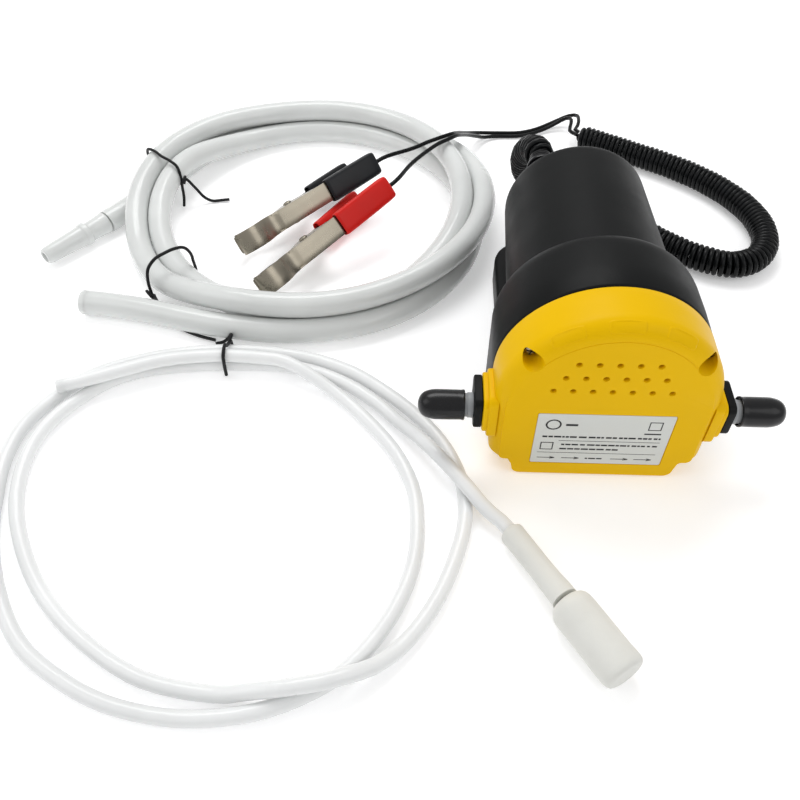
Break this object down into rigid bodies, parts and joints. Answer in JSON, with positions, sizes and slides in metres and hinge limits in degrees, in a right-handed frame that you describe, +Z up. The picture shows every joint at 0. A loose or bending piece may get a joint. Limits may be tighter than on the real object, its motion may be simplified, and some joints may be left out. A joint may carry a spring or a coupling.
{
  "type": "fluid transfer pump",
  "caption": "Small 12 V fluid transfer pump with a yellow cover, black motor housing, curly power cord with battery clips, coiled discharge hose and a suction tube with a strainer",
  "frame": {"origin": "bottom centre of the pump's own bounding box, cords and hoses left out, on the surface it stands on", "axes": "+Z up; the yellow cover faces -Y; +X to the right of someone facing the cover"},
  "size_m": [0.4494, 0.4463, 0.099],
  "materials": {
    "yellow_plastic": "satin moulded ABS, fine texture",
    "black_housing_plastic": "fine matte texture with a soft sheen",
    "black_cap_rubber": "smooth glossy soft PVC",
    "grey_port_plastic": "satin grey",
    "label_film": "silvery printed film",
    "plated_steel": "bright plated sheet",
    "dark_steel": "dull steel",
    "cast_aluminium": "as cast",
    "sintered_brass": "sintered",
    "copper": "turned copper",
    "ferrite": "dull ferrite",
    "carbon": "dull carbon",
    "black_cord_pvc": "smooth satin PVC",
    "black_boot_pvc": "smooth moulded PVC",
    "red_boot_pvc": "smooth moulded PVC",
    "clear_hose_pvc": "clear glossy hose",
    "milky_tube_pe": "milky translucent tube",
    "white_strainer_pe": "off-white moulded",
    "black_tie": "plastic-coated wire"
  },
  "bodies": {
    "body": {"front_cover": "yellow_plastic", "rating_plate": "label_film", "motor_housing": "black_housing_plastic", "cover_screw_left": "plated_steel", "cover_screw_right": "plated_steel", "port_flange_left": "black_housing_plastic", "port_flange_right": "black_housing_plastic", "port_barb_left": "grey_port_plastic", "port_barb_right": "grey_port_plastic", "pump_body": "cast_aluminium", "pump_lid": "cast_aluminium", "pump_screw_1": "plated_steel", "pump_screw_2": "plated_steel", "driven_shaft": "plated_steel", "shaft_seal": "black_cap_rubber", "motor_can": "dark_steel", "motor_front_bell": "cast_aluminium", "motor_rear_bell": "cast_aluminium", "front_bearing": "sintered_brass", "rear_bearing": "sintered_brass", "magnet_left": "ferrite", "magnet_right": "ferrite", "brush_left": "carbon", "brush_right": "carbon", "switch_frame": "black_housing_plastic", "cord_gland": "black_cap_rubber", "power_coil_cord": "black_cord_pvc", "lead_black": "black_cord_pvc", "lead_red": "black_cord_pvc", "discharge_hose_coil": "clear_hose_pvc", "discharge_hose_end": "clear_hose_pvc", "discharge_hose_lead": "clear_hose_pvc", "hose_adapter": "white_strainer_pe", "suction_tube": "milky_tube_pe", "strainer_sleeve": "white_strainer_pe", "strainer_body": "white_strainer_pe", "hose_tie_upper": "black_tie", "hose_tie_lower": "black_tie", "tube_tie": "black_tie", "clip_black_fixed_jaw": "plated_steel", "clip_black_fixed_boot": "black_boot_pvc", "clip_black_rivet": "plated_steel", "clip_black_spring": "dark_steel", "clip_red_fixed_jaw": "plated_steel", "clip_red_fixed_boot": "red_boot_pvc", "clip_red_rivet": "plated_steel", "clip_red_spring": "dark_steel"},
    "rotor": {"armature": "dark_steel", "commutator": "copper", "motor_shaft": "plated_steel", "drive_gear": "sintered_brass"},
    "idler": {"driven_gear": "sintered_brass"},
    "rocker": {"switch_rocker": "black_cap_rubber"},
    "cap_left": {"port_cap_left": "black_cap_rubber"},
    "cap_right": {"port_cap_right": "black_cap_rubber"},
    "black_jaw": {"clip_black_moving_jaw": "plated_steel", "clip_black_moving_boot": "black_boot_pvc"},
    "red_jaw": {"clip_red_moving_jaw": "plated_steel", "clip_red_moving_boot": "red_boot_pvc"}
  },
  "joints": [
    {"name": "motor_spin", "type": "hinge", "parent": "body", "child": "rotor", "pos_m": [0, -0.0095, 0.0495], "axis": [0, 1, 0], "continuous": true},
    {"name": "idler_spin", "type": "hinge", "parent": "body", "child": "idler", "pos_m": [0, -0.069, 0.0235], "axis": [0, 1, 0], "continuous": true},
    {"name": "switch_rock", "type": "hinge", "parent": "body", "child": "rocker", "pos_m": [0.008, 0.0685, 0.042], "axis": [-1, 0, 0], "range_deg": [0, 18]},
    {"name": "cap_left_pull", "type": "slide", "parent": "body", "child": "cap_left", "axis": [-1, 0, 0], "range_m": [0, 0.022]},
    {"name": "cap_right_pull", "type": "slide", "parent": "body", "child": "cap_right", "axis": [1, 0, 0], "range_m": [0, 0.022]},
    {"name": "black_clip_open", "type": "hinge", "parent": "body", "child": "black_jaw", "pos_m": [-0.165, 0.1012, 0.0166], "axis": [0.4781, -0.3697, -0.7967], "range_deg": [0, 28], "stiffness_Nm_per_rad": 0.03, "springref_deg": -11.46},
    {"name": "red_clip_open", "type": "hinge", "parent": "body", "child": "red_jaw", "pos_m": [-0.151, 0.0675, 0.0166], "axis": [0.5635, -0.3423, -0.7518], "range_deg": [0, 28], "stiffness_Nm_per_rad": 0.03, "springref_deg": -11.46}
  ],
  "couplings": [
    {"joint": "idler_spin", "follows": "motor_spin", "ratio": -1}
  ]
}
